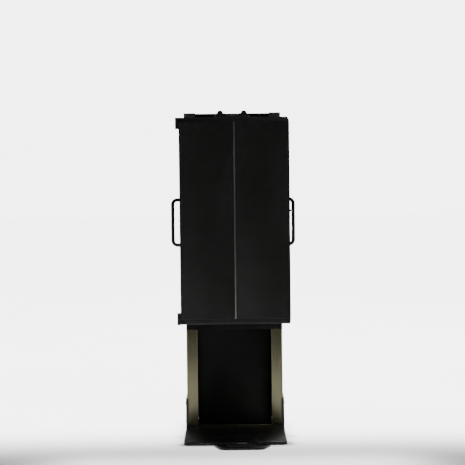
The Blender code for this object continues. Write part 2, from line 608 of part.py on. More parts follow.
def make_ram():
    ram = plate("ram_plate", [rounded_rectangle(-0.105, RAM_Y - 0.086, 0.105, RAM_Y + 0.086, 0.006, 3)],
                0.012, SHELL_BOTTOM + 0.006, FLAT, STEEL)
    ram_tube = cylinder("ram_tube", 0.020, (0, RAM_Y, SHELL_BOTTOM + 0.012 + GAP),
                        (0, RAM_Y, CROSSHEAD_Z - GAP), STEEL, sides=32)
    cut_round(ram_tube, 0.0165, (0, RAM_Y, SHELL_BOTTOM + 0.030), (0, RAM_Y, 0.70), 32)
    high = CROSSHEAD_Z + CROSSHEAD_HEIGHT
    bush_outer, nut_outer = 0.009, 0.0155
    crosshead = box("crosshead", (-0.104, RAM_Y - 0.021, CROSSHEAD_Z), (0.104, RAM_Y + 0.021, high),
                    CAST)
    cut_round(crosshead, nut_outer + GAP, (0, RAM_Y, 0.66), (0, RAM_Y, 0.70))
    pieces = [ram, ram_tube, crosshead]
    for name, side in (("left", -1), ("right", 1)):
        x = side * ROD_X
        cut_round(crosshead, bush_outer + GAP, (x, RAM_Y, 0.66), (x, RAM_Y, 0.70), 20)
        profile = [(bush_outer, high + 0.001), (bush_outer, CROSSHEAD_Z + 0.0005),
                   (ROD_RADIUS + GAP, CROSSHEAD_Z + 0.0005), (ROD_RADIUS + GAP, high + 0.001)]
        pieces.append(turned(f"{name}_guide_bush", profile, x, RAM_Y, BRONZE, 20))
    profile = [(nut_outer, high + 0.004), (nut_outer, CROSSHEAD_Z + 0.0005),
               (SCREW_RADIUS + GAP, CROSSHEAD_Z + 0.0005), (SCREW_RADIUS + GAP, high + 0.004)]
    pieces.append(turned("ram_nut", profile, 0.0, RAM_Y, BRONZE, 24))
    axis_empty("ram_axis", (0.0, RAM_Y, CROSSHEAD_Z), pieces)


# ---- assembly -----------------------------------------------------------------------------
make_foot_plate()
make_glides()
make_pedal()
make_column()
make_rear_cover()
make_power_inlet()
make_bars()
make_shell()
make_handles()
make_top_bracket()
door_pieces = make_door() + make_hinges()
axis_empty("door_axis", (HINGE_X, HINGE_Y, (DOOR_BOTTOM + DOOR_TOP) / 2), door_pieces)
make_latch()
make_guides()
make_deck()
make_motor()
make_belt_drive()
make_ram()
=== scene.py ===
import json
import math

import bmesh
import bpy
from mathutils import Matrix, Vector


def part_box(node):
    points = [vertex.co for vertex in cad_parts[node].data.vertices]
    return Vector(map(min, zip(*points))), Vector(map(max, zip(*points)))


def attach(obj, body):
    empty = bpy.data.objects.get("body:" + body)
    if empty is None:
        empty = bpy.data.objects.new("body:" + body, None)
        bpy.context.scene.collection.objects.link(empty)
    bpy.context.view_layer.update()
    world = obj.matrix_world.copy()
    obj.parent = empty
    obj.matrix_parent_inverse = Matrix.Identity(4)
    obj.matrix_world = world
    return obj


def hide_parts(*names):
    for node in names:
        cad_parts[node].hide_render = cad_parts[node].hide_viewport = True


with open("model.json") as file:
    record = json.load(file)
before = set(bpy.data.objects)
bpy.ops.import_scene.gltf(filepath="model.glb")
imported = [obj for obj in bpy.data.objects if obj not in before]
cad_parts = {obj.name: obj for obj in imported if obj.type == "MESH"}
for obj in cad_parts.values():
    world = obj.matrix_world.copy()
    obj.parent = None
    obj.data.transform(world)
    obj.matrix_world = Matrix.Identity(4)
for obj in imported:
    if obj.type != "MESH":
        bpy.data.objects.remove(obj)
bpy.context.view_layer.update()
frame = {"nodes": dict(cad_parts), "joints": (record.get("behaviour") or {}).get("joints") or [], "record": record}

# The looks of the trash compactor. Metres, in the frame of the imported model: the door faces -Y.
NODES = frame["nodes"]

POST_LOW, POST_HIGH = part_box("right_post")
COLUMN_FRONT = POST_LOW[1]
COLUMN_HALF = POST_HIGH[0]
PRESS_Y = sum(corner[1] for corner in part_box("ram_tube")) / 2
ROD_X = sum(corner[0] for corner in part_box("right_guide_rod")) / 2
SURROUNDINGS = 0.26             # light from all round, as the object sees it
BACKDROP = 5.4                  # what the camera sees past the floor
FLOOR_FRONT = -1.3              # near edge of the studio's floor, about a metre from the pedal
TREAD_LEVEL = 0.0065            # top of the pedal's plate
BORE_RADIUS = 0.0043            # the motor's bore, round its rotor's shaft
JOINT_AXES = {joint["name"]: joint.get("pos_m") for joint in frame["joints"]}


# ---- materials ----------------------------------------------------------------------------
def new_material(name, roughness, metallic=0.0, specular=0.5):
    material = bpy.data.materials.new(name)
    material.use_nodes = True
    tree = material.node_tree
    shader = tree.nodes["Principled BSDF"]
    shader.inputs["Metallic"].default_value = metallic
    shader.inputs["Roughness"].default_value = roughness
    shader.inputs["Specular IOR Level"].default_value = specular
    return material, tree, shader


def object_noise(tree, scale, stretch=(1, 1, 1), detail=4.0, roughness=0.55):
    """Noise in object space; stretch makes it finer along the larger numbers."""
    coordinates = tree.nodes.new("ShaderNodeTexCoord")
    mapping = tree.nodes.new("ShaderNodeMapping")
    mapping.inputs["Scale"].default_value = stretch
    noise = tree.nodes.new("ShaderNodeTexNoise")
    noise.inputs["Scale"].default_value = scale
    noise.inputs["Detail"].default_value = detail
    noise.inputs["Roughness"].default_value = roughness
    tree.links.new(coordinates.outputs["Object"], mapping.inputs["Vector"])
    tree.links.new(mapping.outputs["Vector"], noise.inputs["Vector"])
    return noise.outputs["Fac"]


def colour_ramp(tree, factor, dark, light, low=0.3, high=0.7):
    ramp = tree.nodes.new("ShaderNodeValToRGB")
    ramp.color_ramp.elements[0].position = low
    ramp.color_ramp.elements[0].color = (*dark, 1)
    ramp.color_ramp.elements[1].position = high
    ramp.color_ramp.elements[1].color = (*light, 1)
    tree.links.new(factor, ramp.inputs["Fac"])
    return ramp.outputs["Color"]


def ranged(tree, factor, low, high):
    node = tree.nodes.new("ShaderNodeMapRange")
    node.inputs["To Min"].default_value = low
    node.inputs["To Max"].default_value = high
    tree.links.new(factor, node.inputs["Value"])
    return node.outputs["Result"]


def add_bump(tree, shader, factor, strength, distance):
    bump = tree.nodes.new("ShaderNodeBump")
    bump.inputs["Strength"].default_value = strength
    bump.inputs["Distance"].default_value = distance
    tree.links.new(factor, bump.inputs["Height"])
    tree.links.new(bump.outputs["Normal"], shader.inputs["Normal"])


def edge_wear(tree, colour, worn, amount=0.5):
    """Lightens the convex edges, broken up by noise."""
    geometry = tree.nodes.new("ShaderNodeNewGeometry")
    edge = tree.nodes.new("ShaderNodeMapRange")
    edge.inputs["From Min"].default_value = 0.53
    edge.inputs["From Max"].default_value = 0.62
    edge.inputs["To Max"].default_value = amount
    tree.links.new(geometry.outputs["Pointiness"], edge.inputs["Value"])
    patches = ranged(tree, object_noise(tree, 60.0), 0.2, 1.0)
    product = tree.nodes.new("ShaderNodeMath")
    product.operation = "MULTIPLY"
    tree.links.new(edge.outputs["Result"], product.inputs[0])
    tree.links.new(patches, product.inputs[1])
    mix = tree.nodes.new("ShaderNodeMix")
    mix.data_type = "RGBA"
    tree.links.new(product.outputs["Value"], mix.inputs["Factor"])
    tree.links.new(colour, mix.inputs["A"])
    mix.inputs["B"].default_value = (*worn, 1)
    return mix.outputs["Result"]


def powder_coat(name, dark, light, roughness, specular, grain=900.0, worn=(0.012, 0.012, 0.012)):
    """Sprayed and baked paint: fine orange peel, faint blotches, slightly polished edges."""
    material, tree, shader = new_material(name, roughness, 0.0, specular)
    blotch = object_noise(tree, 9.0, detail=3.0)
    colour = colour_ramp(tree, blotch, dark, light)
    tree.links.new(edge_wear(tree, colour, worn), shader.inputs["Base Color"])
    smear = object_noise(tree, 22.0, (1, 1, 0.35), detail=5.0)
    tree.links.new(ranged(tree, smear, roughness - 0.06, roughness + 0.08), shader.inputs["Roughness"])
    add_bump(tree, shader, object_noise(tree, grain, detail=2.0), 0.12, 0.0004)
    return material


def brushed_metal(name, dark, light, roughness, along="Z", depth=0.15):
    """Metal ground in one direction: long fine streaks in colour, roughness and relief."""
    material, tree, shader = new_material(name, roughness, 1.0)
    stretch = {"X": (0.02, 1, 1), "Y": (1, 0.02, 1), "Z": (1, 1, 0.02)}[along]
    streaks = object_noise(tree, 700.0, stretch, detail=6.0, roughness=0.7)
    colour = colour_ramp(tree, streaks, dark, light, 0.25, 0.75)
    broad = object_noise(tree, 14.0, stretch, detail=3.0)
    tint = tree.nodes.new("ShaderNodeMix")
    tint.data_type = "RGBA"
    tint.blend_type = "MULTIPLY"
    tint.inputs["Factor"].default_value = 0.35
    tree.links.new(colour, tint.inputs["A"])
    tree.links.new(colour_ramp(tree, broad, (0.7, 0.7, 0.68), (1, 1, 1)), tint.inputs["B"])
    tree.links.new(tint.outputs["Result"], shader.inputs["Base Color"])
    tree.links.new(ranged(tree, streaks, roughness - 0.07, roughness + 0.09), shader.inputs["Roughness"])
    add_bump(tree, shader, streaks, depth, 0.0002)
    return material


def turned_metal(name, dark, light, roughness):
    """Turned or ground steel: fine rings around the vertical axis, with a film of oil."""
    material, tree, shader = new_material(name, roughness, 1.0)
    rings = object_noise(tree, 900.0, (0.05, 0.05, 1), detail=3.0)
    tree.links.new(colour_ramp(tree, rings, dark, light), shader.inputs["Base Color"])
    film = object_noise(tree, 30.0, detail=4.0)
    tree.links.new(ranged(tree, film, roughness - 0.06, roughness + 0.10), shader.inputs["Roughness"])
    add_bump(tree, shader, rings, 0.10, 0.0001)
    return material


def cast_metal(name, dark, light):
    material, tree, shader = new_material(name, 0.6, 0.35)
    skin = object_noise(tree, 160.0, detail=6.0, roughness=0.65)
    colour = colour_ramp(tree, skin, dark, light)
    tree.links.new(edge_wear(tree, colour, (0.34, 0.34, 0.33), 0.6), shader.inputs["Base Color"])
    tree.links.new(ranged(tree, skin, 0.5, 0.72), shader.inputs["Roughness"])
    add_bump(tree, shader, skin, 0.35, 0.0005)
    return material


def moulded(name, dark, light, roughness, grain=1200.0, strength=0.2):
    """Moulded plastic or rubber with a fine spark-eroded grain."""
    material, tree, shader = new_material(name, roughness, 0.0, 0.4)
    fine = object_noise(tree, grain, detail=2.0)
    broad = object_noise(tree, 25.0, detail=4.0)
    tree.links.new(colour_ramp(tree, broad, dark, light), shader.inputs["Base Color"])
    tree.links.new(ranged(tree, broad, roughness - 0.05, roughness + 0.07), shader.inputs["Roughness"])
    add_bump(tree, shader, fine, strength, 0.0003)
    return material


MATERIALS = {
    "frame_paint": powder_coat("black_powder_coat", (0.0034, 0.0034, 0.0034), (0.0052, 0.0052, 0.0051),
                               0.42, 0.16),
    "door_paint": powder_coat("door_satin_black", (0.0084, 0.0084, 0.0082), (0.0110, 0.0111, 0.0108),
                              0.36, 0.06, grain=1400.0),
    "foot_paint": powder_coat("foot_semi_gloss", (0.0045, 0.0045, 0.0044), (0.0068, 0.0068, 0.0066),
                              0.32, 0.16),
    "post_steel": brushed_metal("brushed_post_steel", (0.084, 0.080, 0.046), (0.122, 0.116, 0.076), 0.19),
    "trim_metal": brushed_metal("trim_aluminium", (0.095, 0.095, 0.092), (0.140, 0.140, 0.136), 0.36),
    "bright_steel": turned_metal("ground_steel", (0.42, 0.42, 0.43), (0.62, 0.62, 0.63), 0.24),
    "cast_metal": cast_metal("cast_grey_iron", (0.085, 0.087, 0.09), (0.15, 0.152, 0.155)),
    "bronze": turned_metal("bearing_bronze", (0.40, 0.24, 0.10), (0.58, 0.38, 0.18), 0.30),
    "rubber": moulded("black_rubber", (0.010, 0.010, 0.010), (0.020, 0.020, 0.020), 0.82),
    "black_plastic": moulded("grained_black_plastic", (0.014, 0.014, 0.015), (0.022, 0.022, 0.024), 0.5),
    "switch_plastic": moulded("red_gloss_plastic", (0.38, 0.022, 0.014), (0.48, 0.034, 0.022), 0.24,
                              800.0, 0.04),
}
WORN_EDGE = brushed_metal("bare_cut_edge", (0.20, 0.185, 0.14), (0.34, 0.32, 0.25), 0.42, along="X")
WIRE_SHEATH = moulded("wire_sheath", (0.10, 0.10, 0.11), (0.16, 0.16, 0.17), 0.45, 700.0, 0.05)
BAR_PAINT = powder_coat("bar_powder_coat", (0.0085, 0.0085, 0.0083), (0.0115, 0.0115, 0.0112), 0.48, 0.20)
# A darker, duller copy of the black paint. It is painted shade on the bay header and the bay's back panel, which
# sit in the shade of the cabinet above. The pedal spring under the pedal is darkened with it too.
BAY_PAINTED_SHADE = powder_coat("bay_black_painted_shade", (0.0016, 0.0016, 0.0016), (0.0026, 0.0026, 0.0025), 0.50, 0.05,
                         worn=(0.004, 0.004, 0.004))
OTHER_PAINTS = {"top_bar": BAR_PAINT, "bottom_bar": BAR_PAINT, "bay_header": BAY_PAINTED_SHADE,
                "bay_back_panel": BAY_PAINTED_SHADE, "latch_strike": BAR_PAINT, "top_bracket": BAR_PAINT,
                "pedal_spring": BAY_PAINTED_SHADE}


# ---- pieces -------------------------------------------------------------------------------
def place(obj, body, slot_name, material=None, replaces=()):
    """Gives a piece its material and the CAD body that it moves with."""
    obj.data.materials.clear()
    obj.data.materials.append(material or MATERIALS[slot_name])
    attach(obj, body)
    if replaces:
        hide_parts(*replaces)
    return obj


def mesh_object(name, shape, smooth_angle=35.0):
    mesh = bpy.data.meshes.new(name)
    bmesh.ops.recalc_face_normals(shape, faces=shape.faces)
    shape.to_mesh(mesh)
    shape.free()
    mesh.shade_smooth()
    mesh.set_sharp_from_angle(angle=math.radians(smooth_angle))
    obj = bpy.data.objects.new(name, mesh)
    bpy.context.scene.collection.objects.link(obj)
    return obj


def soften(obj, width, segments=3, angle=30.0):
    """Rounds the sharp edges of a piece, with flat faces kept flat."""
    bevel = obj.modifiers.new("rounded_edges", "BEVEL")
    bevel.width = width
    bevel.segments = segments
    bevel.limit_method = "ANGLE"
    bevel.angle_limit = math.radians(angle)
    bevel.use_clamp_overlap = True
    bevel.harden_normals = True
    return obj


def add_block(shape, low, high):
    """Adds a block between two corners to a bmesh."""
    low, high = Vector(low), Vector(high)
    matrix = Matrix.Translation((low + high) / 2) @ Matrix.Diagonal((*(high - low), 1.0))
    bmesh.ops.create_cube(shape, size=1.0, matrix=matrix)


def add_turned(shape, profile, matrix, sides=24, hexagon=()):
    """Adds a turned solid: (radius, height) rows about local Z, closed at both ends.

    Rows whose index is in hexagon take a six-sided outline instead of a round one.
    """
    rings = []
    for index, (radius, height) in enumerate(profile):
        ring = []
        for step in range(sides):
            angle = 2 * math.pi * step / sides
            reach = radius
            if index in hexagon:
                reach = radius / math.cos((angle + math.pi / 6) % (math.pi / 3) - math.pi / 6)
            point = (reach * math.cos(angle), reach * math.sin(angle), height)
            ring.append(shape.verts.new(matrix @ Vector(point)))
        rings.append(ring)
    for lower, upper in zip(rings, rings[1:]):
        for step in range(sides):
            following = (step + 1) % sides
            shape.faces.new((lower[step], lower[following], upper[following], upper[step]))
    shape.faces.new(rings[0])
    shape.faces.new(rings[-1])


def turned_piece(name, profile, position, direction=(0, 0, 1), sides=32, hexagon=()):
    shape = bmesh.new()
    turn = Vector(direction).to_track_quat("Z", "Y").to_matrix().to_4x4()
    add_turned(shape, profile, Matrix.Translation(position) @ turn, sides, hexagon)
    return mesh_object(name, shape)


def screw_heads(name, places, direction, body, slot_name="bright_steel", radius=0.0036):
    """Button-head screws with a hexagon socket, all in one piece."""
    profile = [(radius, 0.0), (radius, 0.0004), (radius * 0.93, 0.0011), (radius * 0.72, 0.0017),
               (radius * 0.52, 0.0019), (radius * 0.42, 0.0019), (radius * 0.40, 0.0006)]
    turn = Vector(direction).to_track_quat("Z", "Y").to_matrix().to_4x4()
    shape = bmesh.new()
    for position in places:
        add_turned(shape, profile, Matrix.Translation(position) @ turn, 18, (5, 6))
    return place(mesh_object(name, shape), body, slot_name)


def bent_rod(name, points, radius, resolution=6):
    curve = bpy.data.curves.new(name, "CURVE")
    curve.dimensions = "3D"
    curve.bevel_depth = radius
    curve.bevel_resolution = resolution
    curve.use_fill_caps = True
    spline = curve.splines.new("POLY")
    spline.points.add(len(points) - 1)
    for point, position in zip(spline.points, points):
        point.co = (*position, 1.0)
    spline.use_smooth = True
    obj = bpy.data.objects.new(name, curve)
    bpy.context.scene.collection.objects.link(obj)
    return obj


def arc(u, v, radius, start, end, steps):
    points = []
    for index in range(steps + 1):
        angle = math.radians(start + (end - start) * index / steps)
        points.append((u + radius * math.cos(angle), v + radius * math.sin(angle)))
    return points


# ---- CAD nodes that keep their shape ------------------------------------------------------
EDGE_WIDTHS = {"foot_plate": 0.0012, "foot_pedal": 0.0008, "top_bar": 0.0014, "bottom_bar": 0.0014,
               "door_pan": 0.0008, "left_door_panel": 0.0006, "right_door_panel": 0.0006,
               "top_bracket": 0.0010, "crosshead": 0.0012, "bearing_block": 0.0012,
               "ram_plate": 0.0015, "power_rocker": 0.0008, "guide_plate": 0.0008,
               "latch_lever": 0.0006, "left_cheek": 0.0007,
               "right_cheek": 0.0007, "motor_pulley": 0.0004, "screw_pulley": 0.0005}
NOT_BEVELLED = {"pedal_spring", "pedal_pin", "power_inlet", "drive_belt", "left_handle", "right_handle",
                "rear_cover", "cabinet_top"}


def finish_cad_nodes():
    slots = {entry["node"]: entry["material_slot"] for entry in frame["record"]["subparts"]}
    for name, obj in NODES.items():
        obj.data.materials.clear()
        obj.data.materials.append(OTHER_PAINTS.get(name) or MATERIALS[slots[name]])
        obj.data.shade_smooth()
        weld = obj.modifiers.new("weld", "WELD")
        weld.merge_threshold = 0.00001
        if name in NOT_BEVELLED:
            split = obj.modifiers.new("crisp_edges", "EDGE_SPLIT")
            split.split_angle = math.radians(35)
        else:
            soften(obj, EDGE_WIDTHS.get(name, 0.0004), 2)


# ---- column and foot ----------------------------------------------------------------------
def make_post(name, side):
    """A folded channel with a fine scored line near its outer edge, and a plug with a front lip."""
    low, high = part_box(name)
    inner, outer = sorted((abs(low[0]), abs(high[0])))
    fold, sheet, score = 0.0022, 0.0015, 0.0030
    front, back = low[1], high[1]
    outside = [(inner, back)] + arc(inner + fold, front + fold, fold, 180, 270, 5)
    outside += [(outer - score - 0.0005, front), (outer - score, front + 0.0004),
                (outer - score + 0.0005, front)]
    outside += arc(outer - fold, front + fold, fold, 270, 360, 5) + [(outer, back)]
    inside = [(outer - sheet, back), (outer - sheet, front + sheet), (inner + sheet, front + sheet),
              (inner + sheet, back)]
    outline = outside + inside
    shape = bmesh.new()
    bottom = [shape.verts.new((side * x, y, low[2])) for x, y in outline]
    face = shape.faces.new(bottom)
    raised = bmesh.ops.extrude_face_region(shape, geom=[face])
    moved = [item for item in raised["geom"] if isinstance(item, bmesh.types.BMVert)]
    bmesh.ops.translate(shape, verts=moved, vec=(0, 0, high[2] - low[2]))
    place(mesh_object(name + "_folded", shape, 30), "frame", "post_steel", replaces=(name,))
    shape = bmesh.new()
    near, far = side * (inner + sheet + 0.0003), side * (outer - sheet - 0.0003)
    add_block(shape, (min(near, far), front + sheet + 0.0003, high[2] - 0.012),
              (max(near, far), back - 0.0005, high[2] - 0.0006))
    near, far = side * (inner + 0.0002), side * (outer - 0.0002)
    add_block(shape, (min(near, far), front - 0.0009, high[2] - 0.024),
              (max(near, far), front - 0.0001, high[2] - 0.0010))
    plug = place(mesh_object(name + "_plug", shape), "frame", "black_plastic")
    soften(plug, 0.0003)


def make_foot_details():
    """Rubber treads along the pedal, the cheeks' folded lips and the screws that hold them."""
    low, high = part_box("foot_pedal")
    centre = (low[0] + high[0]) / 2
    shape = bmesh.new()
    ribs, first, pitch = 5, low[1] + 0.010, 0.0062
    for rib in range(ribs):
        half = 0.034 + 0.0020 * rib
        y = first + pitch * rib
        add_block(shape, (centre - half, y, TREAD_LEVEL - 0.0002),
                  (centre + half, y + 0.0026, TREAD_LEVEL + 0.0009))
    treads = place(mesh_object("pedal_tread_ribs", shape), "pedal", "rubber")
    soften(treads, 0.0004)
    for side, name in ((-1, "left"), (1, "right")):
        cheek_low, cheek_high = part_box(name + "_cheek")
        x = cheek_high[0] if side > 0 else cheek_low[0]
        shape = bmesh.new()
        near, far = x - side * 0.0076, x - side * 0.0002
        add_block(shape, (min(near, far), COLUMN_FRONT - 0.0013, cheek_low[2] + 0.0003),
                  (max(near, far), COLUMN_FRONT - 0.0002, cheek_high[2] - 0.0003))
        lip = place(mesh_object(name + "_cheek_lip", shape), "frame", "frame_paint")
        soften(lip, 0.0003)
        places = [(x - side * 0.0004, y, z) for y in (0.104, 0.192) for z in (0.020, 0.070)]
        screw_heads(name + "_cheek_screws", places, (side, 0, 0), "frame", "frame_paint")


def add_louvre_hood(shape, centre, foot, face):
    """A quarter-round sheet hood that stands out at its foot; its two ends slope back to the face."""
    half, end, reach, tall, sheet, steps = 0.0395, 0.004, 0.0042, 0.0075, 0.0006, 5
    columns = [(centre - half, 0.15), (centre - half + end, 1.0),
               (centre + half - end, 1.0), (centre + half, 0.15)]
    outer, inner = [], []
    for step in range(steps + 1):
        turn = math.pi / 2 * step / steps
        out, up = reach * math.cos(turn), foot + tall * math.sin(turn)
        outer.append([shape.verts.new((x, face + 0.0001 + out * share, up)) for x, share in columns])
        inner.append([shape.verts.new((x, face + 0.0001 + max(0.0, out * share - sheet), up - 0.0005))
                      for x, share in columns])
    for layer in (outer, inner):
        for a, b in zip(layer, layer[1:]):
            for i in range(3):
                shape.faces.new((a[i], a[i + 1], b[i + 1], b[i]))
    for i in range(3):
        shape.faces.new((outer[0][i], outer[0][i + 1], inner[0][i + 1], inner[0][i]))
        shape.faces.new((outer[-1][i], outer[-1][i + 1], inner[-1][i + 1], inner[-1][i]))
    for i in (0, 3):
        for a, b, c, d in zip(outer, outer[1:], inner[1:], inner):
            shape.faces.new((a[i], b[i], c[i], d[i]))


def make_rear_details():
    """Louvre hoods over the slots, the screws of the cover and the inlet, and the switch bezel."""
    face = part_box("rear_cover")[1][1]
    rows, first_foot, pitch = 8, 0.6978, 0.014
    shape = bmesh.new()
    for row in range(rows):
        for centre in (-0.055, 0.055):
            add_louvre_hood(shape, centre, first_foot + pitch * row, face)
    place(mesh_object("rear_louvre_hoods", shape, 50), "frame", "frame_paint")
    places = [(side * 0.124, face, z) for side in (-1, 1) for z in (0.022, 0.230, 0.440, 0.650, 0.862)]
    screw_heads("rear_cover_screws", places, (0, 1, 0), "frame", "frame_paint")
    inlet_low, inlet_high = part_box("power_inlet")
    middle = (inlet_low[2] + inlet_high[2]) / 2
    places = [(side * 0.0232, inlet_high[1], middle) for side in (-1, 1)]
    screw_heads("inlet_screws", places, (0, 1, 0), "frame", "bright_steel", 0.0022)
    rocker_low, rocker_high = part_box("power_rocker")
    shape = bmesh.new()
    z_low, z_high = rocker_low[2] - 0.0022, rocker_high[2] + 0.0022
    x_half, rim = rocker_high[0] + 0.0012, 0.0028
    low_y, high_y = face + 0.0002, face + 0.0018
    add_block(shape, (-x_half - rim, low_y, z_high), (x_half + rim, high_y, z_high + rim))
    add_block(shape, (-x_half - rim, low_y, z_low - rim), (x_half + rim, high_y, z_low))
    for side in (-1, 1):
        add_block(shape, (min(side * x_half, side * (x_half + rim)), low_y, z_low),
                  (max(side * x_half, side * (x_half + rim)), high_y, z_high))
    place(mesh_object("rocker_bezel", shape), "frame", "black_plastic")


# ---- cabinet ------------------------------------------------------------------------------
def make_handle(name, side):
    """A bent rod with round collars where its two legs meet the cabinet's side."""
    low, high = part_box(name)
    radius = (high[1] - low[1]) / 2
    out = max(abs(low[0]), abs(high[0])) - radius
    wall, bend = COLUMN_HALF + 0.0003, 0.0125
    top, bottom = high[2] - radius, low[2] + radius
    path = [(wall, top), (out - bend - 0.002, top)] + arc(out - bend, top - bend, bend, 90, 0, 12)
    path += [(out, (top + bottom) / 2)]
    path += arc(out - bend, bottom + bend, bend, 0, -90, 12)
    path += [(out - bend - 0.002, bottom), (wall, bottom)]
    rod = bent_rod(name + "_rod", [(side * x, PRESS_Y, z) for x, z in path], radius - 0.00005, 8)
    place(rod, "frame", "frame_paint", replaces=(name,))
    shape = bmesh.new()
    turn = Vector((side, 0, 0)).to_track_quat("Z", "Y").to_matrix().to_4x4()
    for z in (top, bottom):
        profile = [(0.0085, 0.0), (0.0085, 0.0012), (0.0078, 0.0021), (0.0062, 0.0026), (0.0052, 0.0040)]
        add_turned(shape, profile, Matrix.Translation((side * wall, PRESS_Y, z)) @ turn, 32)
    place(mesh_object(name + "_collars", shape), "frame", "frame_paint")


def make_top_details():
    """Acorn caps on the guide rods, the bracket's bare cut edge and the cabinet top's screws."""
    for name, side in (("left", -1), ("right", 1)):
        low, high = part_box(name + "_cap_nut")
        base, top, radius = low[2], high[2], (high[0] - low[0]) / 2
        dome = [(radius, base), (radius, base + 0.0010), (radius * 0.86, base + 0.0013),
                (radius * 0.86, base + 0.0034)]
        rise = top - base - 0.0034
        for step in range(1, 7):
            turn = math.pi / 2 * step / 7
            dome.append((radius * 0.84 * math.cos(turn), base + 0.0034 + rise * math.sin(turn)))
        dome.append((0.0004, top))
        cap = turned_piece(name + "_acorn_cap", dome, (side * ROD_X, PRESS_Y, 0), sides=36, hexagon=(2, 3))
        place(cap, "frame", "cast_metal", BAR_PAINT, replaces=(name + "_cap_nut",))
    low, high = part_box("top_bracket")
    base_half, shoulder_half = high[0], 0.0398
    shoulder, dip, flat_half = high[2], 0.0060, 0.0222
    band = 0.0005
    radius = (flat_half ** 2 + dip ** 2) / (2 * dip)
    half_angle = math.degrees(math.asin(flat_half / radius))
    outline = arc(0.0, shoulder - dip + radius + 0.0002, radius, -90 + half_angle, -90 - half_angle, 16)
    ends = [(shoulder_half, shoulder), (base_half, 0.860)]
    shape = bmesh.new()
    for path in (outline, ends, [(-x, z) for x, z in ends]):
        columns = []
        for x, z in path:
            columns.append([shape.verts.new((x, y, z + lift)) for y, lift in
                            ((low[1] - 0.0003, -0.0008), (low[1] - 0.0003, band),
                             (high[1] + 0.0003, band), (high[1] + 0.0003, -0.0008))])
        for a, b in zip(columns, columns[1:]):
            for i in range(4):
                shape.faces.new((a[i], a[(i + 1) % 4], b[(i + 1) % 4], b[i]))
        shape.faces.new(columns[0])
        shape.faces.new(columns[-1])
    place(mesh_object("bracket_cut_edge", shape), "frame", "cast_metal", WORN_EDGE)
    shell_low, shell_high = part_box("cabinet_top")
    places = [(x, y, shell_high[2]) for x in (-0.124, 0.124) for y in (-0.105, -0.020, 0.072)]
    places += [(x, shell_low[1] + 0.010, shell_high[2]) for x in (-0.060, 0.060)]
    screw_heads("cabinet_top_screws", places, (0, 0, 1), "frame", "frame_paint")


def make_side_details():
    """Screws in the cabinet's sides, the bay header, the strike plate and the catch's pivot."""
    for side, name in ((-1, "left"), (1, "right")):
        x = side * (COLUMN_HALF - 0.0002)
        places = [(x, y, z) for z in (0.362, 0.590, 0.810) for y in (0.076,)]
        places += [(x, -0.112, z) for z in (0.362, 0.810)]
        screw_heads(f"cabinet_{name}_side_screws", places, (side, 0, 0), "frame", "frame_paint")
    header_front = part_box("bay_header")[0][1]
    places = [(x, header_front + 0.0001, 0.297) for x in (-0.118, 0.118)]
    screw_heads("bay_header_screws", places, (0, -1, 0), "frame", "frame_paint", 0.0030)
    strike_low, strike_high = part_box("latch_strike")
    levels = (strike_low[2] + 0.0055, strike_high[2] - 0.0055)
    places = [(strike_high[0] - 0.0003, -0.113, z) for z in levels]
    screw_heads("strike_screws", places, (1, 0, 0), "frame", "bright_steel", 0.0026)
    lever_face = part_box("latch_lever")[1][0]
    axis = JOINT_AXES["latch_turn"]
    screw_heads("latch_pivot_screw", [(lever_face - 0.0002, axis[1], axis[2])], (1, 0, 0), "latch",
                "bright_steel", 0.0020)


def make_door_details():
    """The liner's pressed fields, seen with the door open."""
    low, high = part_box("door_liner")
    face, depth, margin, gap = high[1], 0.0009, 0.022, 0.016
    fields = 3
    tall = (high[2] - low[2] - 2 * margin - (fields - 1) * gap) / fields
    shape = bmesh.new()
    columns = [low[0], low[0] + margin, high[0] - margin, high[0]]
    rows = [low[2]]
    for index in range(fields):
        bottom = low[2] + margin + index * (tall + gap)
        rows += [bottom, bottom + tall]
    rows.append(high[2])
    verts = [[shape.verts.new((x, face, z)) for x in columns] for z in rows]
    pressed = []
    for j in range(len(rows) - 1):
        for i in range(3):
            panel = shape.faces.new((verts[j][i], verts[j][i + 1], verts[j + 1][i + 1], verts[j + 1][i]))
            if i == 1 and j % 2 == 1:
                pressed.append(panel)
    bmesh.ops.inset_individual(shape, faces=pressed, thickness=0.004, depth=-depth)
    bmesh.ops.recalc_face_normals(shape, faces=shape.faces)
    liner = mesh_object("door_liner_pressing", shape, 60)
    solid = liner.modifiers.new("sheet", "SOLIDIFY")
    solid.thickness = 0.0005
    solid.offset = 0.0
    inset = Matrix.Translation((0, -0.0003, 0))
    liner.data.transform(inset)
    place(liner, "door", "door_paint", replaces=("door_liner",))


